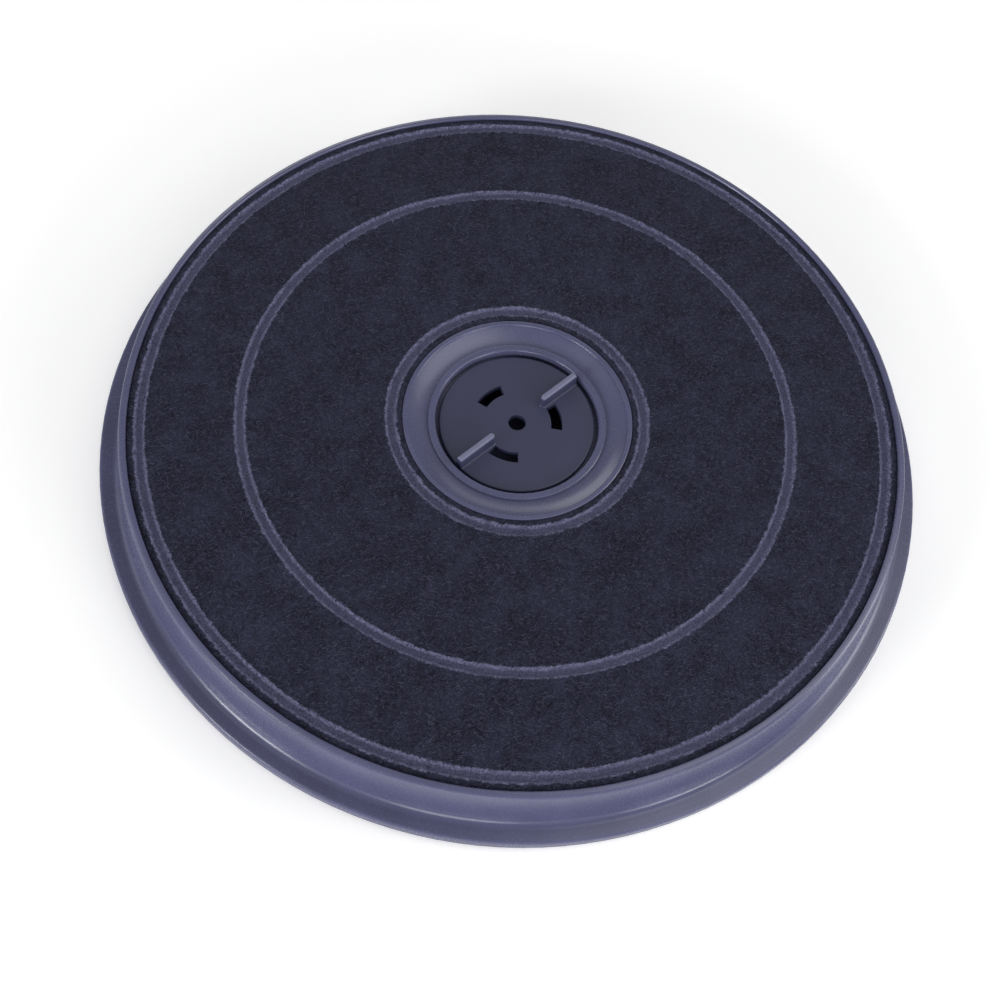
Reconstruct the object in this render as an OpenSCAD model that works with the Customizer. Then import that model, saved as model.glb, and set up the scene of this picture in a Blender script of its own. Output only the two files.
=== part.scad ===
// Round carbon filter for a cooker hood.
// A moulded basket holds two beds of carbon granules between layers of fleece, and a disc in its hub turns
// to lock the filter on the fan. +Z points out of the fleece side, +X runs along the grip fins, and the
// origin is the centre of the base.

/* [Basket] */
// Diameter of the flange round the base
flange_d = 233; // [210:1:260]
// Height of the lip above the base
body_h = 19; // [17:0.5:26]
// Wall thickness of the moulding
wall = 1.8; // [1.2:0.1:2.2]
// Width of the flange's flat top
flange_w = 3.5; // [2.6:0.1:5]
// Height of the flange
flange_h = 3.7; // [3:0.1:6]
// Rounding of the flange's upper edge
flange_round = 0.9; // [0.5:0.1:1.2]
// Width of the hollow curve at the skirt's foot
foot_w = 2.2; // [1:0.1:3.5]
// Height of the hollow curve at the skirt's foot
foot_h = 1.7; // [1:0.1:3]
// How far the skirt leans in from the foot curve to the lip
skirt_lean = 1.3; // [0.4:0.1:4]
// Width of the lip, from its outside to the fleece pocket
lip_w = 2.2; // [1.9:0.1:3]
// Rounding of the lip's outer edge
lip_round = 1.4; // [0.6:0.1:1.4]

/* [Fleece] */
// Thickness of the front fleece
fleece_t = 1.8; // [1.2:0.1:2.4]
// How far the lip stands above the front fleece
lip_stand = 0.7; // [0.2:0.1:1.5]
// How much higher the front fleece is at the middle ring than at the rim
crown = 1.4; // [0:0.1:2.5]
// How far each bed domes up between its welds
bed_dome = 0.3; // [0:0.05:0.6]
// Width of a pressed weld line
weld_w = 2.4; // [1.8:0.1:3]
// Depth of a pressed weld line
weld_depth = 0.7; // [0.3:0.1:0.9]
// Slope of a weld line's sides, measured across
weld_slope = 0.4; // [0.1:0.1:0.8]
// Width of the loose strip between the rim weld and the lip
strip_w = 2.3; // [1:0.1:4]
// Thickness of the back fleece
back_fleece_t = 1.2; // [0.6:0.1:2]

/* [Ring walls and grille] */
// Diameter of the middle ring wall at its centre line, as a percentage of the flange's
mid_ring_share = 65.8; // [56:0.2:72]
// Height of the grille above the base
grille_z = 1.2; // [0.2:0.1:3]
// Thickness of the grille
grille_t = 1.8; // [1.2:0.1:3]
// Width of the grille's bars
bar_w = 1.6; // [1.2:0.1:2.4]
// Number of spokes inside the middle ring
inner_spokes = 24; // [12:1:36]
// Number of spokes outside the middle ring
outer_spokes = 36; // [18:1:48]
// Number of grille rings inside the middle ring
inner_rings = 2; // [1:1:4]
// Number of grille rings outside the middle ring
outer_rings = 1; // [1:1:3]
// Number of ribs between the basket and its skirt
rim_ribs = 18; // [6:1:36]
// Thickness of a rib
rib_t = 1.4; // [1:0.1:2]

/* [Hub ring] */
// Outer diameter of the hub's outer bead
hub_d = 64.6; // [60:0.2:72]
// Inner diameter of the hub's inner bead, round the disc
hub_bore_d = 46.1; // [40:0.1:50]
// Width of the outer bead
outer_bead_w = 1.6; // [1.3:0.1:2.4]
// Width of the inner bead
inner_bead_w = 2.1; // [1.4:0.1:3]
// Height of each bead above the channel beside it
bead_h = 0.7; // [0.3:0.1:1]
// How much lower the inner bead is than the outer bead
hub_fall = 1.7; // [0.5:0.1:2]
// Depth of the channel's hollow below a straight slope
channel_sag = 0.35; // [0:0.05:0.6]
// Width of the loose strip between the outer bead and the hub weld
hub_strip_w = 2; // [1:0.1:4]
// Thickness of the ledge that carries the disc
ledge_t = 1.8; // [1.2:0.1:2.6]
// How far the ledge reaches in under the disc
ledge_w = 3.2; // [2.6:0.1:5]
// Number of ribs inside the hub
hub_ribs = 24; // [18:1:36]

/* [Lock disc] */
// How far the disc's face lies below the lip
disc_sink = 3.8; // [3.2:0.1:6]
// Thickness of the disc
disc_t = 2; // [1.4:0.1:3]
// Gap round the disc
disc_gap = 1.15; // [0.4:0.05:2]
// Rounding of the disc's upper edge
disc_round = 0.45; // [0.2:0.05:0.8]
// Diameter of the centre hole
hole_d = 5; // [3:0.1:7]
// Inner diameter of the ring of bayonet slots
slot_ring_d = 19.3; // [14:0.1:24]
// Width of a bayonet slot
slot_w = 3.15; // [2:0.05:3.8]
// Angle that a bayonet slot spans
slot_arc = 40; // [20:1:56]
// Turn of the first slot from the line of the fins
slot_turn = -50.5; // [-56:0.5:-48]
// Number of bayonet slots, and of snap legs
hooks = 3; // [3:1:3]
// Height of the grip fins
fin_h = 3.8; // [2:0.1:5]
// Width of a fin along its top
fin_top_w = 1.6; // [1.2:0.1:2.2]
// Width of a fin at its foot
fin_foot_w = 2.4; // [2.2:0.1:3.2]
// Distance of a fin's inner end from the centre
fin_start = 8.4; // [7:0.1:12]
// Distance of a fin's outer end from the disc's edge
fin_margin = 0.1; // [0.05:0.05:2]
// Rounding along the top of a fin
fin_round = 0.4; // [0.1:0.05:0.45]
// Rounding into the disc at the foot of a fin
fin_fillet = 0.3; // [0.1:0.05:0.6]

/* [Snap legs] */
// Angle that a snap leg spans
leg_arc = 24; // [12:1:40]
// Thickness of a snap leg
leg_t = 1.6; // [1:0.1:2.2]
// How far a leg hooks out under the ledge
hook_w = 0.9; // [0.5:0.1:1.5]
// Height of the hook
hook_h = 1.6; // [1.6:0.1:3]

/* [Clearances] */
// Gap between a leg and the ledge's edge
leg_gap = 0.4; // [0.2:0.05:0.8]
// Gap between the disc and its ledge, and between a hook and the ledge
seat_gap = 0.1; // [0.05:0.05:0.3]
// Gap between a fleece or bed and the wall beside it
fill_gap = 0.1; // [0.05:0.05:0.5]

/* [Hidden] */
$fn = 180;

plastic_colour = [0.33, 0.33, 0.43];
disc_colour = [0.29, 0.29, 0.38];
fleece_colour = [0.19, 0.19, 0.25];
back_fleece_colour = [0.30, 0.30, 0.34];
carbon_colour = [0.09, 0.09, 0.10];

// Rounding of small edges, and how far joined shapes run into each other
edge_round = 0.4;
bite = 0.6;
// Steps in a rounded corner, and in a long curve, of a profile
round_steps = 4;
curve_steps = 10;

// Radii of the rim, from the outside in
flange_r = flange_d / 2;
foot_r = flange_r - flange_w;
skirt_r = foot_r - foot_w;
lip_r = skirt_r - skirt_lean;
pocket_r = lip_r - lip_w;
rim_weld_r = pocket_r - strip_w - weld_w / 2;
basket_out_r = rim_weld_r + wall / 2;
basket_in_r = rim_weld_r - wall / 2;

// Radii of the middle ring wall
mid_r = flange_r * mid_ring_share / 100;
mid_out_r = mid_r + wall / 2;
mid_in_r = mid_r - wall / 2;

// Radii of the hub
hub_r = hub_d / 2;
hub_weld_r = hub_r + hub_strip_w + weld_w / 2;
hub_wall_out_r = hub_weld_r + wall / 2;
hub_wall_in_r = hub_weld_r - wall / 2;
bore_r = hub_bore_d / 2;
tube_out_r = bore_r + wall;
ledge_in_r = bore_r - ledge_w;
channel_out_r = hub_r - outer_bead_w;
channel_in_r = bore_r + inner_bead_w;

// Levels of the basket, from the base up
grille_top = grille_z + grille_t;
back_fleece_top = grille_top + back_fleece_t;
pocket_z = body_h - lip_stand - fleece_t;
pocket_under = pocket_z - wall;
mid_z = pocket_z + crown;
rim_face = pocket_z + fleece_t;
mid_face = mid_z + fleece_t;

// Levels of the hub and its disc
outer_bead_top = rim_face;
inner_bead_top = outer_bead_top - hub_fall;
channel_out_z = outer_bead_top - bead_h;
channel_in_z = inner_bead_top - bead_h;
hub_under = channel_in_z - wall;
disc_face = body_h - disc_sink;
disc_under = disc_face - disc_t;
ledge_top = disc_under - seat_gap;
ledge_under = ledge_top - ledge_t;
hook_top = ledge_under - seat_gap;
hook_low = hook_top - hook_h;

// Radii of the disc, its fins and its legs
disc_r = bore_r - disc_gap;
fin_end = disc_r - fin_margin;
fin_end_r = fin_foot_w / 2 + fin_fillet;
leg_out_r = ledge_in_r - leg_gap;
leg_in_r = leg_out_r - leg_t;
hook_r = ledge_in_r + hook_w;

// Levels of the skirt's straight part
skirt_low = flange_h + foot_h;
skirt_high = body_h - lip_round;

// Points on an arc about c with radius r, from angle a0 to a1
function arc(c, r, a0, a1) =
    [for (i = [0:round_steps]) let (a = a0 + (a1 - a0) * i / round_steps) c + r * [cos(a), sin(a)]];

// Points up the hollow curve at the skirt's foot
function foot_curve() =
    [for (i = [0:curve_steps]) let (a = 90 * i / curve_steps)
        [foot_r - foot_w * sin(a), flange_h + foot_h * (1 - cos(a))]];

// Radius of the skirt's straight outside at height z
function skirt_at(z) = lip_r + skirt_lean * (skirt_high - z) / (skirt_high - skirt_low);

// Points from a to b along a curve that rises by d in its middle
function bulge(a, b, d) =
    [for (i = [0:curve_steps]) let (t = i / curve_steps) a + t * (b - a) + [0, d * sin(180 * t)]];

// Points across a pressed weld line about radius r in a face at height z, from the outside in
function weld_line(r, z) = [
    [r + weld_w / 2, z],
    [r + weld_w / 2 - weld_slope, z - weld_depth],
    [r - weld_w / 2 + weld_slope, z - weld_depth],
    [r - weld_w / 2, z]
];

// Skirt, lip, fleece pocket and the basket's outer wall, as one bent wall
module rim() {
    rotate_extrude()
    polygon(concat(
        [[flange_r - wall, 0]],
        arc([flange_r - edge_round, edge_round], edge_round, -90, 0),
        arc([flange_r - flange_round, flange_h - flange_round], flange_round, 0, 90),
        foot_curve(),
        arc([lip_r - lip_round, body_h - lip_round], lip_round, 0, 90),
        arc([pocket_r + edge_round, body_h - edge_round], edge_round, 90, 180),
        [[pocket_r, pocket_z], [basket_in_r, pocket_z], [basket_in_r, grille_z], [basket_out_r, grille_z]],
        [[basket_out_r, pocket_under], [skirt_at(pocket_under) - wall, pocket_under]],
        [[skirt_r - wall, skirt_low], [foot_r - wall, flange_h - wall], [flange_r - wall, flange_h - wall]]
    ));
}

// Ribs on radial planes, spread round the axis and kept inside an outline that is turned about it
module rib_ring(outline, count) {
    intersection() {
        rotate_extrude()
        polygon(outline);
        for (i = [0:count - 1])
            rotate([0, 0, 360 * (i + 0.5) / count])
            translate([0, -rib_t / 2, 0])
            cube([flange_r, rib_t, body_h]);
    }
}

// Ribs that tie the skirt to the basket behind it
module rim_rib_ring() {
    rib_ring([
        [foot_r - wall, grille_z],
        [basket_out_r - bite, grille_z],
        [basket_out_r - bite, pocket_under + bite],
        [skirt_at(pocket_under) - wall + bite, pocket_under + bite],
        [skirt_r - wall + bite, skirt_low],
        [foot_r - wall, flange_h - wall + bite]
    ], rim_ribs);
}

// Wall under the middle weld
module middle_ring() {
    translate([0, 0, grille_z])
    linear_extrude(mid_z - grille_z)
    difference() {
        circle(mid_out_r);
        circle(mid_in_r);
    }
}

// Flat ring of the grille, about radius r
module grille_ring(r) {
    difference() {
        circle(r + bar_w / 2);
        circle(r - bar_w / 2);
    }
}

// Spokes and rings of the grille between radii r0 and r1
module grille_field(r0, r1, spokes, rings) {
    for (i = [0:spokes - 1])
        rotate(360 * i / spokes)
        translate([r0 - bite, -bar_w / 2])
        square([r1 - r0 + 2 * bite, bar_w]);
    for (i = [1:rings])
        grille_ring(r0 + (r1 - r0) * i / (rings + 1));
}

// Grille on the hidden side
module grille() {
    translate([0, 0, grille_z])
    linear_extrude(grille_t)
    union() {
        grille_field(hub_wall_out_r, mid_in_r, inner_spokes, inner_rings);
        grille_field(mid_out_r, basket_in_r, outer_spokes, outer_rings);
    }
}

// Hub: weld wall, two beads with the sloping channel between them, socket tube and ledge
module hub_ring() {
    rotate_extrude()
    polygon(concat(
        [[hub_wall_out_r, grille_z], [hub_wall_out_r, pocket_z], [hub_r, pocket_z]],
        arc([hub_r - edge_round, outer_bead_top - edge_round], edge_round, 0, 90),
        arc([channel_out_r + edge_round, outer_bead_top - edge_round], edge_round, 90, 180),
        bulge([channel_out_r, channel_out_z], [channel_in_r, channel_in_z], -channel_sag),
        arc([channel_in_r - edge_round, inner_bead_top - edge_round], edge_round, 0, 90),
        arc([bore_r + edge_round, inner_bead_top - edge_round], edge_round, 90, 180),
        [[bore_r, ledge_top], [ledge_in_r, ledge_top], [ledge_in_r, ledge_under], [bore_r, ledge_under]],
        [[bore_r, grille_z], [tube_out_r, grille_z], [tube_out_r, hub_under]],
        [[hub_wall_in_r, pocket_under], [hub_wall_in_r, grille_z]]
    ));
}

// Ribs inside the hub, from the socket tube to the weld wall
module hub_rib_ring() {
    rib_ring([
        [tube_out_r - bite, grille_z],
        [hub_wall_in_r + bite, grille_z],
        [hub_wall_in_r + bite, pocket_under + bite],
        [tube_out_r - bite, hub_under + bite]
    ], hub_ribs);
}

module housing() {
    color(plastic_colour)
    union() {
        rim();
        rim_rib_ring();
        middle_ring();
        grille();
        hub_ring();
        hub_rib_ring();
    }
}

module front_fleece() {
    color(fleece_colour)
    rotate_extrude()
    polygon(concat(
        [[pocket_r - fill_gap, rim_face]],
        weld_line(rim_weld_r, rim_face),
        bulge([rim_weld_r - weld_w / 2, rim_face], [mid_r + weld_w / 2, mid_face], bed_dome),
        weld_line(mid_r, mid_face),
        bulge([mid_r - weld_w / 2, mid_face], [hub_weld_r + weld_w / 2, rim_face], bed_dome),
        weld_line(hub_weld_r, rim_face),
        [[hub_r + fill_gap, rim_face], [hub_r + fill_gap, pocket_z]],
        bulge([hub_wall_out_r, pocket_z], [mid_in_r, mid_z], bed_dome),
        bulge([mid_out_r, mid_z], [basket_in_r, pocket_z], bed_dome),
        [[pocket_r - fill_gap, pocket_z]]
    ));
}

// Flat fleece ring on the grille, between the walls at radii r0 and r1
module back_fleece(r0, r1) {
    color(back_fleece_colour)
    translate([0, 0, grille_top])
    linear_extrude(back_fleece_t)
    difference() {
        circle(r1 - fill_gap);
        circle(r0 + fill_gap);
    }
}

module back_fleece_inner() {
    back_fleece(hub_wall_out_r, mid_in_r);
}

module back_fleece_outer() {
    back_fleece(mid_out_r, basket_in_r);
}

// Bed of granules between the walls at a and b, which give the radius and height of the fleece over it
module carbon_bed(a, b) {
    color(carbon_colour)
    rotate_extrude()
    polygon(concat(
        [[b[0] - fill_gap, back_fleece_top]],
        bulge([b[0] - fill_gap, b[1] - fill_gap], [a[0] + fill_gap, a[1] - fill_gap], bed_dome),
        [[a[0] + fill_gap, back_fleece_top]]
    ));
}

module carbon_bed_inner() {
    carbon_bed([hub_wall_out_r, pocket_z], [mid_in_r, mid_z]);
}

module carbon_bed_outer() {
    carbon_bed([mid_out_r, mid_z], [basket_in_r, pocket_z]);
}

// Half of a fin's section, which its inner end turns about
function half_fin() = concat(
    [[0, -bite], [fin_end_r, -bite]],
    arc([fin_end_r, fin_fillet], fin_fillet, 270, 180),
    arc([fin_top_w / 2 - fin_round, fin_h - fin_round], fin_round, 0, 90),
    [[0, fin_h]]
);

// Upright grip fin along +X, with a round inner end and an outer end that follows the disc's edge
module fin() {
    intersection() {
        translate([fin_start + fin_end_r, 0, disc_face])
        rotate([90, 0, 90])
        linear_extrude(disc_r)
        union() {
            polygon(half_fin());
            mirror([1, 0]) polygon(half_fin());
        }
        translate([0, 0, disc_face])
        rotate_extrude()
        polygon(concat(
            [[0, -2 * bite], [fin_end, -2 * bite]],
            arc([fin_end - fin_round, fin_h - fin_round], fin_round, 0, 90),
            [[fin_end - fin_round, fin_h + bite], [0, fin_h + bite]]
        ));
    }
    translate([fin_start + fin_end_r, 0, disc_face])
    rotate_extrude()
    polygon(half_fin());
}

// Snap leg that hooks under the ledge
module snap_leg() {
    rotate([0, 0, -leg_arc / 2])
    rotate_extrude(angle = leg_arc)
    polygon([
        [leg_in_r, disc_under + bite],
        [leg_in_r, hook_low],
        [leg_out_r - leg_gap, hook_low],
        [hook_r, hook_top - edge_round],
        [hook_r, hook_top],
        [leg_out_r, hook_top],
        [leg_out_r, disc_under + bite]
    ]);
}

module disc_plate() {
    rotate_extrude()
    polygon(concat(
        [[0, disc_under], [disc_r, disc_under]],
        arc([disc_r - disc_round, disc_face - disc_round], disc_round, 0, 90),
        [[0, disc_face]]
    ));
}

module lock_disc() {
    color(disc_colour)
    difference() {
        union() {
            disc_plate();
            for (a = [0, 180])
                rotate([0, 0, a])
                fin();
            for (i = [0:hooks - 1])
                rotate([0, 0, slot_turn + slot_arc / 2 + 360 * (i + 0.5) / hooks])
                snap_leg();
        }
        for (i = [0:hooks - 1])
            rotate([0, 0, slot_turn + 360 * i / hooks])
            rotate_extrude(angle = slot_arc)
            translate([slot_ring_d / 2, disc_under - bite])
            square([slot_w, disc_t + 2 * bite]);
        translate([0, 0, disc_under - bite])
        cylinder(h = disc_t + 2 * bite, d = hole_d);
    }
}

housing();
front_fleece();
back_fleece_inner();
back_fleece_outer();
carbon_bed_inner();
carbon_bed_outer();
lock_disc();
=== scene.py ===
"""Round carbon filter for a cooker hood, lying fleece side up on a pale studio floor."""

from math import cos, pi, radians, sin

import bpy
import numpy as np
from mathutils import Matrix, Vector

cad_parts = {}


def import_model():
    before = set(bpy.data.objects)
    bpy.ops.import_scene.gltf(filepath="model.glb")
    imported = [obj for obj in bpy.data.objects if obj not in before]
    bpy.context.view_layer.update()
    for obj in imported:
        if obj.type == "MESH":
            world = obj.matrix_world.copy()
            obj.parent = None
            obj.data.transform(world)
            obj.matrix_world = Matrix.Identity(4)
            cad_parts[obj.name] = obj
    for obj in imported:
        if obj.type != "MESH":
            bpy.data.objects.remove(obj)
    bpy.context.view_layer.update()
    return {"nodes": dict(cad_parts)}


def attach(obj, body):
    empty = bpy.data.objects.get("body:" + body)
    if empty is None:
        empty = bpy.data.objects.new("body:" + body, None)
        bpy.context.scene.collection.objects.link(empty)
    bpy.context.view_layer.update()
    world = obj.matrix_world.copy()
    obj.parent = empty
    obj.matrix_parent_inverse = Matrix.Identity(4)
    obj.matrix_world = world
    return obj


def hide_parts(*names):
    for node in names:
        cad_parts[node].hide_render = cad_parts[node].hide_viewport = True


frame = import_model()

MM = 0.001
BODY = "filter_body"

# Radii of the basket, in millimetres. Each weld line runs along the middle of a wall.
WALL = 1.8
FILL_GAP = 0.1
POCKET_R = 107.3
RIM_WELD_R = 103.8
MID_WELD_R = 76.66
HUB_WELD_R = 35.5
HUB_R = 32.3
BASKET_IN_R = RIM_WELD_R - WALL / 2
MID_OUT_R = MID_WELD_R + WALL / 2
MID_IN_R = MID_WELD_R - WALL / 2
HUB_WALL_R = HUB_WELD_R + WALL / 2
FELT_OUT_R = POCKET_R - FILL_GAP
FELT_IN_R = HUB_R + FILL_GAP

# Levels, in millimetres above the base.
POCKET_Z = 16.5
MID_Z = 17.9
FLEECE_T = 1.8
RIM_FACE = POCKET_Z + FLEECE_T
MID_FACE = MID_Z + FLEECE_T
BED_DOME = 0.3
BACK_LOW = 3.0
BACK_TOP = 4.2
# Height above which the fins' tops get a painted highlight, and the height over which it fades in.
FIN_HIGHLIGHT_Z = 17.9
FIN_HIGHLIGHT_FADE = 0.9

# Pressed weld lines, and the lip that is squeezed up beside each of them.
WELDS = (RIM_WELD_R, MID_WELD_R, HUB_WELD_R)
WELD_W = 2.4
WELD_DEPTH = 0.7
WELD_SLOPE = 0.4
WELD_ROUND = 0.25
LIP_AWAY, LIP_W, LIP_H = 0.35, 0.4, 0.12
# How far outside a weld line its torn edge runs.
TORN_OUT = 0.05

# Unevenness of the felts: depth and blob size in millimetres, and the noise's seed.
WELD_WANDER = ((0.16, 2.3, 1), (0.10, 0.9, 2))
FELT_LUMPS = ((0.10, 9, 3), (0.07, 3.1, 4), (0.05, 1.1, 5))
LIP_LUMPS = ((LIP_H, 1.7, 6),)
BACK_LUMPS = ((0.07, 4, 11),)
CALM_IN_WELD = 0.8
EDGE_FADE = 1.2

# Rows of the fleece's mesh: close together at the weld lines, wide apart between them.
ROUND = 720
ANGLES = np.arange(ROUND) * 2 * pi / ROUND
FINE_STEP, FINE_REACH = 0.15, 2.1
COARSE_STEP, COARSE_CLEAR = 1.7, 2.6
EDGE_ROUND = 0.25
UNDERSIDE_R = (FELT_OUT_R, BASKET_IN_R, 90, MID_OUT_R, MID_IN_R, 56, HUB_WALL_R, FELT_IN_R)
BACK_LOW_ROWS, BACK_TOP_ROWS = 22, 6
BACK_CLEAR = 0.09

# Loose fibres: turn and bend in radians, the other values in millimetres.
MATTED = {"turn": 0.7, "length": (0.4, 1.5), "width": (0.07, 0.13), "lift": (0.03, 0.11), "bend": 0.3}
TORN = {"turn": 0.75, "length": (0.25, 0.8), "width": (0.05, 0.10), "lift": (0.02, 0.14), "bend": 0.7}
# The way most fibres lie, in radians from +X.
NAP = 2.4
MATTED_COUNT, MATTED_SEED, TORN_SEED = 30000, 20, 31
MATTED_IN_WELD = 0.25
TORN_SPREAD = 0.15
TORN_RISE = 0.05
TIP_TAPER = 0.5
FIBRE_CLEAR = 0.3
# Torn fibres in each millimetre of a weld line's outer and inner edge.
TORN_PER_MM = {RIM_WELD_R: (2.0, 8.0), MID_WELD_R: (7.0, 7.0), HUB_WELD_R: (6.0, 7.0)}

# Colours, linear.
PLASTIC = (0.086, 0.088, 0.168)
DISC = (0.034, 0.036, 0.080)
# Painted highlight: the paler colour of the fins' tops.
FIN_TOP_HIGHLIGHT = (0.160, 0.164, 0.265)
FLEECE_DARK = (0.005, 0.005, 0.011)
FLEECE_LIGHT = (0.035, 0.036, 0.070)
WELD_DARK = (0.050, 0.050, 0.095)
WELD_LIGHT = (0.105, 0.106, 0.185)
WELD_EDGE = (0.165, 0.168, 0.275)
FIBRE_DARK = (0.006, 0.006, 0.014)
FIBRE_LIGHT = (0.075, 0.077, 0.135)
TUFT_DARK = (0.060, 0.061, 0.110)
TUFT_LIGHT = (0.200, 0.204, 0.325)
BACK_DARK = (0.045, 0.046, 0.055)
BACK_LIGHT = (0.140, 0.142, 0.160)
CARBON_DARK = (0.004, 0.004, 0.005)
CARBON_LIGHT = (0.020, 0.020, 0.022)
# Painted shade: the dark card under the hub, seen through the disc's slots.
SHADE_COLOUR = (0.110, 0.110, 0.200)
FLOOR_GREY = 0.90

# Gloss and grain of the plastics, and the size of a carbon granule in millimetres.
PLASTIC_ROUGH, DISC_ROUGH = 0.25, 0.40
PLASTIC_GRAIN, DISC_GRAIN = 0.5, 0.4
GRAIN_DEPTH = 0.006
SHADE_SPREAD = 0.07
GRANULE = 2.2

# Camera, solved from the filter's own concentric rings in the photo.
FOCAL_PX, PICTURE_PX = 1534, 1000
ELEVATION, HEADING = radians(58.85), radians(39.5)
YAW, PITCH, ROLL = 0.0024, 0.0553, radians(-9.74)
DISTANCE, LOOKED_AT = 0.4283, Vector((0, 0, 0.0183))
SENSOR_MM = 36
CLIP_NEAR, CLIP_FAR = 0.01, 50

# Each softbox's degrees anticlockwise from the picture's right, elevation, width in metres and watts.
SOFTBOXES = (
    ("right_low", 0, 14, 0.5, 3.4),
    ("front_left_low", 225, 18, 0.4, 7.8),
    ("front_low", 270, 12, 0.5, 3.6),
    ("front_right_low", 318, 14, 0.4, 4.0),
    ("right", 8, 30, 0.4, 2.2),
    ("back", 90, 30, 0.5, 0.8),
    ("back_left", 115, 26, 0.5, 1.8),
    ("left", 180, 30, 0.5, 1.0),
    ("key", 18, 62, 0.8, 3.6),
    ("left_high", 180, 68, 0.5, 0.4),
)
SOFTBOX_DISTANCE = 1.2
AMBIENT = 0.17

# Stage, in millimetres: the floor, the radii where it fades into white, and the card of painted shade under
# the hub.
FLOOR_Z, FLOOR_HALF = -0.05, 6000
FADE_START, FADE_END = 190, 330
SHADE_Z, SHADE_HALF = 0.3, 45
# What the floor near the filter gains for the camera alone.
FLOOR_LIFT = 0.26

# Noise table: cells along each side, and an origin that keeps cell numbers above zero.
NOISE_CELLS = 256
NOISE_ORIGIN = (1000.37, 1000.71)


# Noise and the fleece's form


def smooth(t):
    """Eases t from 0 to 1, and holds it there outside that range."""
    t = np.clip(t, 0, 1)
    return t * t * (3 - 2 * t)


def value_noise(x, y, size, seed):
    """Smooth noise from -1 to 1 at points x, y, with blobs about size wide."""
    table = np.random.default_rng(seed).uniform(-1, 1, (NOISE_CELLS, NOISE_CELLS))
    u, v = np.asarray(x) / size + NOISE_ORIGIN[0], np.asarray(y) / size + NOISE_ORIGIN[1]
    i, j = np.floor(u).astype(int), np.floor(v).astype(int)
    s, t = smooth(u - i), smooth(v - j)

    def corner(a, b):
        return table[(i + a) % NOISE_CELLS, (j + b) % NOISE_CELLS]

    low = corner(0, 0) * (1 - s) + corner(1, 0) * s
    high = corner(0, 1) * (1 - s) + corner(1, 1) * s
    return low * (1 - t) + high * t


def uneven(x, y, layers):
    """Sum of noises at points x, y, one for each layer of depth, blob size and seed."""
    return sum(depth * value_noise(x, y, size, seed) for depth, size, seed in layers)


def bed_line(r, outer, inner, z_outer, z_inner):
    """Height of a bed's fleece at radius r: a straight slope with a slight dome."""
    t = np.clip((outer - r) / (outer - inner), 0, 1)
    return z_outer + (z_inner - z_outer) * t + BED_DOME * np.sin(pi * t)


def fleece_form(r):
    """Height of the front fleece at radius r, in millimetres, before its weld lines."""
    half = WELD_W / 2
    outer = bed_line(r, RIM_WELD_R - half, MID_WELD_R + half, RIM_FACE, MID_FACE)
    inner = bed_line(r, MID_WELD_R - half, HUB_WELD_R + half, MID_FACE, RIM_FACE)
    return np.where(r > MID_WELD_R, outer, inner)


def weld_press(r):
    """How far down the fleece is pressed at radius r: 1 in a weld line, 0 away from all of them."""
    inside = np.max([WELD_W / 2 - np.abs(r - weld) for weld in WELDS], axis=0)
    return smooth((inside + WELD_ROUND) / (WELD_SLOPE + WELD_ROUND))


def weld_lip(r):
    """Share of the lip's height at radius r."""
    beside = [np.abs(r - weld) - WELD_W / 2 for weld in WELDS]
    return np.max([np.exp(-(((away - LIP_AWAY) / LIP_W) ** 2)) for away in beside], axis=0)


def fleece_height(r, a):
    """Height of the front fleece's face, in millimetres, with its unevenness."""
    x, y = r * np.cos(a), r * np.sin(a)
    torn_r = r + uneven(x, y, WELD_WANDER)
    press = weld_press(torn_r)
    lumps = uneven(x, y, FELT_LUMPS) * (1 - CALM_IN_WELD * press)
    lip = weld_lip(torn_r) * (LIP_H + uneven(x, y, LIP_LUMPS))
    edge = smooth((r - FELT_IN_R) / EDGE_FADE) * smooth((FELT_OUT_R - r) / EDGE_FADE)
    return fleece_form(r) - WELD_DEPTH * press + (lumps + lip) * edge


# Meshes


def new_mesh(name, points, faces, material, shade_smooth=True):
    """An object from points in millimetres and faces of equal length."""
    mesh = bpy.data.meshes.new(name)
    points, faces = np.asarray(points, float) * MM, np.asarray(faces, int)
    mesh.vertices.add(len(points))
    mesh.vertices.foreach_set("co", points.ravel())
    mesh.loops.add(faces.size)
    mesh.loops.foreach_set("vertex_index", faces.ravel())
    mesh.polygons.add(len(faces))
    mesh.polygons.foreach_set("loop_start", np.arange(0, faces.size, faces.shape[1]))
    mesh.polygons.foreach_set("use_smooth", np.full(len(faces), shade_smooth))
    mesh.update(calc_edges=True)
    mesh.validate()
    mesh.materials.append(material)
    obj = bpy.data.objects.new(name, mesh)
    bpy.context.scene.collection.objects.link(obj)
    return obj


def ring_solid(name, rings, material):
    """A closed ring from a loop of rings, each a radius and its heights at ANGLES."""
    rows = [np.stack([r * np.cos(ANGLES), r * np.sin(ANGLES), z + 0 * ANGLES], 1) for r, z in rings]
    i, k = np.meshgrid(np.arange(len(rows)), np.arange(ROUND), indexing="ij")
    next_i, next_k = (i + 1) % len(rows), (k + 1) % ROUND
    corners = (i * ROUND + k, next_i * ROUND + k, next_i * ROUND + next_k, i * ROUND + next_k)
    return new_mesh(name, np.concatenate(rows), np.stack(corners, -1).reshape(-1, 4), material)


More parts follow.
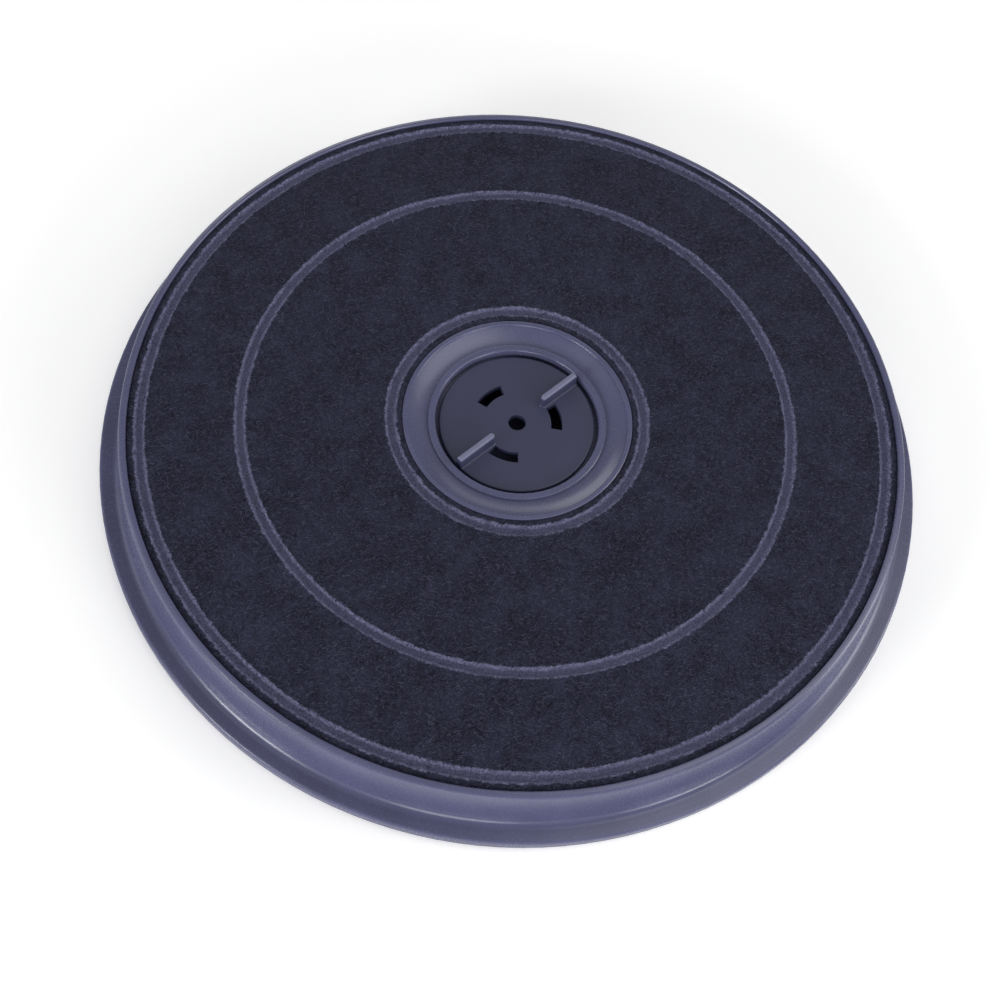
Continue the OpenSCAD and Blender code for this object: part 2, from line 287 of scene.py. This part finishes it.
def ribbons(name, r, a, heading, length, width, lift, bend, material, parts=3, rise=0.0):
    """Thin fibres on the fleece. Each has its middle at radius r and angle a and runs along heading."""
    t = np.linspace(-0.5, 0.5, parts + 1)[None, :]
    turn = heading[:, None] + bend[:, None] * t
    step = length[:, None] / parts
    dx, dy = np.cos(turn) * step, np.sin(turn) * step
    x = (r * np.cos(a))[:, None] + np.cumsum(dx, 1) - dx.sum(1, keepdims=True) / 2
    y = (r * np.sin(a))[:, None] + np.cumsum(dy, 1) - dy.sum(1, keepdims=True) / 2
    fibre_r = np.clip(np.hypot(x, y), HUB_R + FIBRE_CLEAR, POCKET_R - FIBRE_CLEAR)
    fibre_a = np.arctan2(y, x)
    x, y = fibre_r * np.cos(fibre_a), fibre_r * np.sin(fibre_a)
    arch = 1 - (2 * t) ** 2
    z = fleece_height(fibre_r, fibre_a) + lift[:, None] * arch + rise * (t + 0.5) * length[:, None]
    half = width[:, None] / 2 * (1 - TIP_TAPER * np.abs(2 * t) ** 3)
    nx, ny = -np.sin(turn) * half, np.cos(turn) * half
    left = np.stack([x + nx, y + ny, z], -1)
    right = np.stack([x - nx, y - ny, z], -1)
    points = np.stack([left, right], 2).reshape(-1, 3)
    base = (np.arange(len(r)) * (parts + 1) * 2)[:, None] + 2 * np.arange(parts)[None, :]
    faces = np.stack([base, base + 1, base + 3, base + 2], -1).reshape(-1, 4)
    return new_mesh(name, points, faces, material, shade_smooth=False)


# Material nodes

SOCKETS = {
    "specular": "Specular IOR Level",
    "sheen": "Sheen Weight",
    "sheen_roughness": "Sheen Roughness",
}


def rgba(colour):
    """A colour tuple with full alpha. A socket stays as it is."""
    return (*colour, 1) if isinstance(colour, tuple) else colour


class Shader:
    """A material's node tree, built from short calls."""

    def __init__(self, name):
        self.material = bpy.data.materials.new(name)
        self.material.use_nodes = True
        self.tree = self.material.node_tree
        self.bsdf = self.tree.nodes["Principled BSDF"]
        self.place = self.add("ShaderNodeTexCoord").outputs["Object"]

    def add(self, kind, **values):
        """A new node with its properties set."""
        node = self.tree.nodes.new(kind)
        for name, value in values.items():
            setattr(node, name, value)
        return node

    def put(self, socket, term):
        """Links a socket to term, or sets term as its number."""
        if isinstance(term, bpy.types.NodeSocket):
            self.tree.links.new(term, socket)
        else:
            socket.default_value = term

    def math(self, operation, *terms):
        """One sum on sockets or numbers."""
        node = self.add("ShaderNodeMath", operation=operation)
        for socket, term in zip(node.inputs, terms):
            self.put(socket, term)
        return node.outputs[0]

    def spread(self, value, low, high, to_low=0.0, to_high=1.0):
        """Stretches value's range low to high over to_low to to_high, and clamps it."""
        node = self.add("ShaderNodeMapRange")
        names = ("Value", "From Min", "From Max", "To Min", "To Max")
        for name, term in zip(names, (value, low, high, to_low, to_high)):
            self.put(node.inputs[name], term)
        return node.outputs[0]

    def noise(self, size_mm, detail=2.0, rough=0.55, stretch=None, distortion=0.0):
        """Noise from 0 to 1 with blobs about size_mm wide. stretch is three scales and a turn in degrees."""
        place = self.place
        if stretch:
            mapping = self.add("ShaderNodeMapping")
            mapping.inputs["Scale"].default_value = stretch[:3]
            mapping.inputs["Rotation"].default_value = (0, 0, radians(stretch[3]))
            self.put(mapping.inputs["Vector"], place)
            place = mapping.outputs[0]
        node = self.add("ShaderNodeTexNoise")
        names = ("Vector", "Scale", "Detail", "Roughness", "Distortion")
        for name, term in zip(names, (place, 1 / (size_mm * MM), detail, rough, distortion)):
            self.put(node.inputs[name], term)
        return node.outputs[0]

    def tones(self, *layers):
        """Sum of noises. Each layer is a noise, the low and high it is clipped at, and its share."""
        total = 0.0
        for value, low, high, share in layers:
            total = self.math("ADD", total, self.spread(value, low, high, 0.0, share))
        return total

    def blend(self, share, a, b):
        """Colour a where share is 0 and colour b where it is 1."""
        node = self.add("ShaderNodeMix", data_type="RGBA")
        self.put(node.inputs["Factor"], share)
        self.put(node.inputs["A"], rgba(a))
        self.put(node.inputs["B"], rgba(b))
        return node.outputs["Result"]

    def axes(self):
        """X, Y and Z of the point, in metres."""
        split = self.add("ShaderNodeSeparateXYZ")
        self.put(split.inputs[0], self.place)
        return split.outputs

    def radius(self):
        """Distance from the filter's axis, in millimetres."""
        x, y, _ = self.axes()
        x2, y2 = self.math("MULTIPLY", x, x), self.math("MULTIPLY", y, y)
        return self.math("MULTIPLY", self.math("SQRT", self.math("ADD", x2, y2)), 1 / MM)

    def bump(self, height, depth_mm, strength=1.0, normal=None):
        """Normal of a surface raised by height times depth_mm, on top of another normal if one is given."""
        node = self.add("ShaderNodeBump")
        for name, term in (("Strength", strength), ("Distance", depth_mm * MM), ("Height", height)):
            self.put(node.inputs[name], term)
        if normal is not None:
            self.put(node.inputs["Normal"], normal)
        return node.outputs[0]

    def finish(self, colour, roughness, normal=None, **numbers):
        """Sets the surface's inputs and returns the material."""
        self.put(self.bsdf.inputs["Base Color"], rgba(colour))
        self.put(self.bsdf.inputs["Roughness"], roughness)
        if normal is not None:
            self.put(self.bsdf.inputs["Normal"], normal)
        for name, value in numbers.items():
            self.put(self.bsdf.inputs[SOCKETS[name]], value)
        return self.material


# Materials


def plastic(name, colour, roughness, grain_mm, highlight_from=None):
    """Satin moulded plastic with fine grain, and a painted highlight: paler above the last height if given.
    """
    s = Shader(name)
    grain = s.noise(grain_mm, detail=1.0)
    clouds = s.noise(14, detail=2.0)
    darker, lighter = (tuple(c * k for c in colour) for k in (1 - SHADE_SPREAD, 1 + SHADE_SPREAD))
    base = s.blend(s.spread(clouds, 0.3, 0.7), darker, lighter)
    # Painted highlight: above the given height the colour turns paler, standing in for light on the fins'
    # tops.
    if highlight_from is not None:
        lit_top = s.spread(s.axes()["Z"], highlight_from * MM, (highlight_from + FIN_HIGHLIGHT_FADE) * MM)
        base = s.blend(lit_top, base, FIN_TOP_HIGHLIGHT)
    rough = s.math("ADD", s.spread(grain, 0.3, 0.7, -0.04, 0.04), roughness)
    return s.finish(base, rough, s.bump(grain, GRAIN_DEPTH), specular=0.6)


def weld_masks(s):
    """Shares of the pressed weld lines and of their torn edges."""
    wander = s.spread(s.noise(1.5, detail=3.0), 0.25, 0.75, -0.45, 0.45)
    r = s.math("ADD", s.radius(), wander)
    band, edge = 0.0, 0.0
    for weld in WELDS:
        away = s.math("ABSOLUTE", s.math("SUBTRACT", r, weld))
        band = s.math("MAXIMUM", band, s.spread(away, WELD_W / 2, WELD_W / 2 + 0.5, 1.0, 0.0))
        beside = s.math("ABSOLUTE", s.math("SUBTRACT", away, WELD_W / 2 + TORN_OUT))
        edge = s.math("MAXIMUM", edge, s.spread(beside, 0.15, 0.6, 1.0, 0.0))
    torn = s.math("MULTIPLY", edge, s.spread(s.noise(0.6, detail=2.0), 0.4, 0.62))
    return band, torn


def fleece_material():
    """Needled fleece: dark mottled felt, paler along its pressed weld lines and at their torn edges."""
    s = Shader("fleece")
    band, torn = weld_masks(s)
    grain = s.noise(0.5, detail=1.0, rough=0.5)
    clots = s.noise(1.5, detail=2.0, rough=0.6)
    clouds = s.noise(9, detail=3.0, rough=0.6)
    tone = s.tones((grain, 0.36, 0.66, 0.45), (clots, 0.36, 0.66, 0.25), (clouds, 0.38, 0.64, 0.30))
    pressed = s.blend(s.spread(grain, 0.3, 0.7), WELD_DARK, WELD_LIGHT)
    colour = s.blend(band, s.blend(tone, FLEECE_DARK, FLEECE_LIGHT), pressed)
    colour = s.blend(torn, colour, WELD_EDGE)
    rough = s.spread(band, 0.0, 1.0, 0.95, 0.65)
    bump = s.bump(clots, 0.2, 0.8, s.bump(grain, 0.12, 0.8))
    return s.finish(colour, rough, bump, sheen=0.03, sheen_roughness=0.6, specular=0.1)


def fibre_material(name, dark, light):
    """Loose fibres, each with a shade of its own."""
    s = Shader(name)
    each = s.add("ShaderNodeNewGeometry").outputs["Random Per Island"]
    return s.finish(s.blend(each, dark, light), 0.7, specular=0.3)


def back_fleece_material():
    """Thin grey felt with long fibres that lie one way."""
    s = Shader("back_fleece")
    strands = s.noise(0.6, detail=3.0, stretch=(0.4, 1.5, 1.0, 30), distortion=0.5)
    clots = s.noise(2.2, detail=3.0)
    tone = s.tones((strands, 0.35, 0.75, 0.6), (clots, 0.3, 0.7, 0.4))
    return s.finish(s.blend(tone, BACK_DARK, BACK_LIGHT), 0.95, s.bump(strands, 0.2, 0.8), specular=0.2)


def carbon_material():
    """Packed black granules."""
    s = Shader("carbon")
    cells = s.add("ShaderNodeTexVoronoi")
    s.put(cells.inputs["Scale"], 1 / (GRANULE * MM))
    s.put(cells.inputs["Vector"], s.place)
    away = cells.outputs["Distance"]
    colour = s.blend(s.spread(away, 0.1, 0.7), CARBON_LIGHT, CARBON_DARK)
    return s.finish(colour, 0.6, s.bump(away, 0.8, 0.9))


# Fleeces


def fleece_radii():
    """Radii of the front fleece's rows."""
    fine = [w + d for w in WELDS for d in np.arange(-FINE_REACH, FINE_REACH + FINE_STEP / 2, FINE_STEP)]
    coarse = np.arange(FELT_IN_R, FELT_OUT_R, COARSE_STEP)
    coarse = [c for c in coarse if min(abs(c - w) for w in WELDS) > COARSE_CLEAR]
    edges = [FELT_IN_R, FELT_IN_R + EDGE_ROUND, FELT_OUT_R - EDGE_ROUND, FELT_OUT_R]
    return [r for r in sorted([*edges, *coarse, *fine]) if FELT_IN_R <= r <= FELT_OUT_R]


def front_fleece(material):
    """The mat that shows: an uneven face over an underside that follows the basket's walls."""
    face = [(r, fleece_height(np.full(ROUND, r), ANGLES)) for r in fleece_radii()]
    for end in (0, -1):
        r, z = face[end]
        face[end] = (r, z - EDGE_ROUND)
    underside = [(r, fleece_form(r) - FLEECE_T) for r in UNDERSIDE_R]
    return ring_solid("front_fleece_felt", face + underside, material)


def loose_fibres(name, r, a, heading, kind, rng, material, parts=3, rise=0.0):
    """Ribbons about along heading, varied as their kind says."""
    n = len(r)
    heading = heading + rng.normal(0, kind["turn"], n)
    length, width, lift = (rng.uniform(*kind[value], n) for value in ("length", "width", "lift"))
    bend = rng.normal(0, kind["bend"], n)
    return ribbons(name, r, a, heading, length, width, lift, bend, material, parts, rise)


def matted_fibres(name, seed, material):
    """Short fibres that lie flat all over the fleece, evenly by area, with few in the weld lines."""
    rng = np.random.default_rng(seed)
    inner, outer = HUB_R + 2 * FIBRE_CLEAR, POCKET_R - 2 * FIBRE_CLEAR
    r = np.sqrt(rng.uniform(inner**2, outer**2, MATTED_COUNT))
    a = rng.uniform(0, 2 * pi, MATTED_COUNT)
    away = np.min([np.abs(r - weld) for weld in WELDS], axis=0)
    keep = (away > WELD_W / 2 + FIBRE_CLEAR) | (rng.uniform(0, 1, MATTED_COUNT) < MATTED_IN_WELD)
    return loose_fibres(name, r[keep], a[keep], NAP, MATTED, rng, material)


def weld_tufts(name, seed, material):
    """Short torn fibres that stand along both edges of each weld line."""
    rng = np.random.default_rng(seed)
    edges = []
    for weld, per_mm in TORN_PER_MM.items():
        for side, density in zip((1, -1), per_mm):
            n = int(2 * pi * weld * density)
            radius = weld + side * (WELD_W / 2 + TORN_OUT) + rng.normal(0, TORN_SPREAD, n)
            edges.append([radius, rng.uniform(0, 2 * pi, n)])
    r, a = np.concatenate(edges, 1)
    return loose_fibres(name, r, a, a + pi / 2, TORN, rng, material, parts=2, rise=TORN_RISE)


def back_ring(name, outer, inner, material):
    """Thin felt behind the grille between two radii, uneven on the side that lies on the grille."""
    x, y = np.cos(ANGLES), np.sin(ANGLES)
    low = BACK_LOW + BACK_CLEAR
    below = [(r, low + uneven(r * x, r * y, BACK_LUMPS)) for r in np.linspace(outer, inner, BACK_LOW_ROWS)]
    above = [(r, BACK_TOP) for r in np.linspace(inner, outer, BACK_TOP_ROWS)]
    return ring_solid(name, below + above, material)


# The filter


def dress_node(name, material):
    """Gives a CAD node its material."""
    node = frame["nodes"][name]
    node.data.materials.clear()
    node.data.materials.append(material)
    return node


def dress_front():
    """The welded fleece with its loose fibres, in place of the CAD's."""
    felt = front_fleece(fleece_material())
    fibre = fibre_material("fleece_fibre", FIBRE_DARK, FIBRE_LIGHT)
    loose = [matted_fibres(f"front_fleece_fibres_{k}", MATTED_SEED + k, fibre) for k in (1, 2)]
    tuft = fibre_material("weld_tuft", TUFT_DARK, TUFT_LIGHT)
    loose.append(weld_tufts("front_fleece_tufts", TORN_SEED, tuft))
    for piece in (felt, *loose):
        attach(piece, BODY)
    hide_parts("front_fleece")


def dress_back():
    """The two thin fleeces under the carbon, in place of the CAD's."""
    material = back_fleece_material()
    chambers = {
        "back_fleece_inner": (MID_IN_R, HUB_WALL_R),
        "back_fleece_outer": (BASKET_IN_R, MID_OUT_R),
    }
    for name, (outer_wall, inner_wall) in chambers.items():
        outer, inner = outer_wall - FILL_GAP, inner_wall + FILL_GAP
        felt = back_ring(f"{name}_felt", outer, inner, material)
        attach(felt, BODY)
        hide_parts(name)


def dress_filter():
    """Materials for the CAD's pieces, and felts in place of its fleeces."""
    housing = dress_node("housing", plastic("moulded_plastic", PLASTIC, PLASTIC_ROUGH, PLASTIC_GRAIN))
    # The disc's fins get a painted highlight on their tops.
    dress_node("lock_disc", plastic("disc_plastic", DISC, DISC_ROUGH, DISC_GRAIN, highlight_from=FIN_HIGHLIGHT_Z))
    carbon = carbon_material()
    for bed in ("carbon_bed_inner", "carbon_bed_outer"):
        dress_node(bed, carbon)
    dress_front()
    dress_back()


# Camera and lights


def direction(azimuth, elevation):
    """Unit vector at an azimuth from +X and an elevation, both in radians."""
    return Vector((cos(azimuth) * cos(elevation), sin(azimuth) * cos(elevation), sin(elevation)))


def turned(u, v, angle):
    """The pair of axes u, v after a turn that takes u towards v."""
    return u * cos(angle) + v * sin(angle), v * cos(angle) - u * sin(angle)


def place_camera():
    """Looks along HEADING and down by ELEVATION from the photo's own place."""
    ahead = direction(HEADING, -ELEVATION)
    right = Vector((sin(HEADING), -cos(HEADING), 0))
    up = right.cross(ahead)
    place = LOOKED_AT - ahead * DISTANCE
    right, ahead = turned(right, ahead, YAW)
    up, ahead = turned(up, ahead, PITCH)
    right, up = turned(right, up, -ROLL)
    data = bpy.data.cameras.new("camera")
    data.sensor_width, data.lens = SENSOR_MM, SENSOR_MM * FOCAL_PX / PICTURE_PX
    data.clip_start, data.clip_end = CLIP_NEAR, CLIP_FAR
    camera = bpy.data.objects.new("camera", data)
    turn = Matrix((right, up, -ahead)).transposed()
    camera.matrix_world = Matrix.Translation(place) @ turn.to_4x4()
    bpy.context.scene.collection.objects.link(camera)
    bpy.context.scene.camera = camera


def softbox(name, side, elevation, size, power):
    """A square area light that faces the filter."""
    data = bpy.data.lights.new(name, "AREA")
    data.shape, data.size = "SQUARE", size
    data.energy = power
    light = bpy.data.objects.new(name, data)
    back = direction(radians(side) + HEADING - pi / 2, radians(elevation))
    light.location = back * SOFTBOX_DISTANCE
    light.rotation_mode = "QUATERNION"
    light.rotation_quaternion = back.to_track_quat("Z", "Y")
    bpy.context.scene.collection.objects.link(light)


def world():
    """Plain weak light from all sides, and white to the camera."""
    made = bpy.data.worlds.new("studio")
    bpy.context.scene.world = made
    made.use_nodes = True
    tree = made.node_tree
    background = tree.nodes["Background"]
    path = tree.nodes.new("ShaderNodeLightPath")
    strength = tree.nodes.new("ShaderNodeMapRange")
    strength.inputs["To Min"].default_value = AMBIENT
    strength.inputs["To Max"].default_value = 1.0
    tree.links.new(path.outputs["Is Camera Ray"], strength.inputs["Value"])
    tree.links.new(strength.outputs[0], background.inputs["Strength"])
    background.inputs["Color"].default_value = (1, 1, 1, 1)


# Stage


def square(name, half, z, material):
    """A flat square of the stage, centred on the filter's axis, in millimetres."""
    points = [(-half, -half, z), (half, -half, z), (half, half, z), (-half, half, z)]
    new_mesh(name, points, [(0, 1, 2, 3)], material, shade_smooth=False)


def floor():
    """Pale floor that keeps the filter's shadow, and is white to the camera further off."""
    s = Shader("floor")
    s.finish((FLOOR_GREY, FLOOR_GREY, FLOOR_GREY), 0.9, specular=0.0)
    seen = s.add("ShaderNodeLightPath").outputs["Is Camera Ray"]
    far = s.spread(s.radius(), FADE_START, FADE_END)
    glow = s.add("ShaderNodeEmission")
    s.put(glow.inputs["Strength"], s.math("MULTIPLY", seen, s.spread(far, 0.0, 1.0, FLOOR_LIFT, 1.0)))
    fade = s.add("ShaderNodeMixShader")
    s.put(fade.inputs[0], s.math("MULTIPLY", seen, far))
    s.put(fade.inputs[1], s.bsdf.outputs[0])
    total = s.add("ShaderNodeAddShader")
    s.put(total.inputs[0], fade.outputs[0])
    s.put(total.inputs[1], glow.outputs[0])
    s.put(s.tree.nodes["Material Output"].inputs["Surface"], total.outputs[0])
    square("floor", FLOOR_HALF, FLOOR_Z, s.material)


def hub_shade():
    """Dark card under the hub: painted shade, which makes the disc's slots look dark."""
    square("hub_shade", SHADE_HALF, SHADE_Z, Shader("hub_shade").finish(SHADE_COLOUR, 1.0, specular=0.0))


dress_filter()
place_camera()
floor()
hub_shade()
world()
for box in SOFTBOXES:
    softbox(*box)

bpy.context.scene.view_settings.view_transform = "Standard"
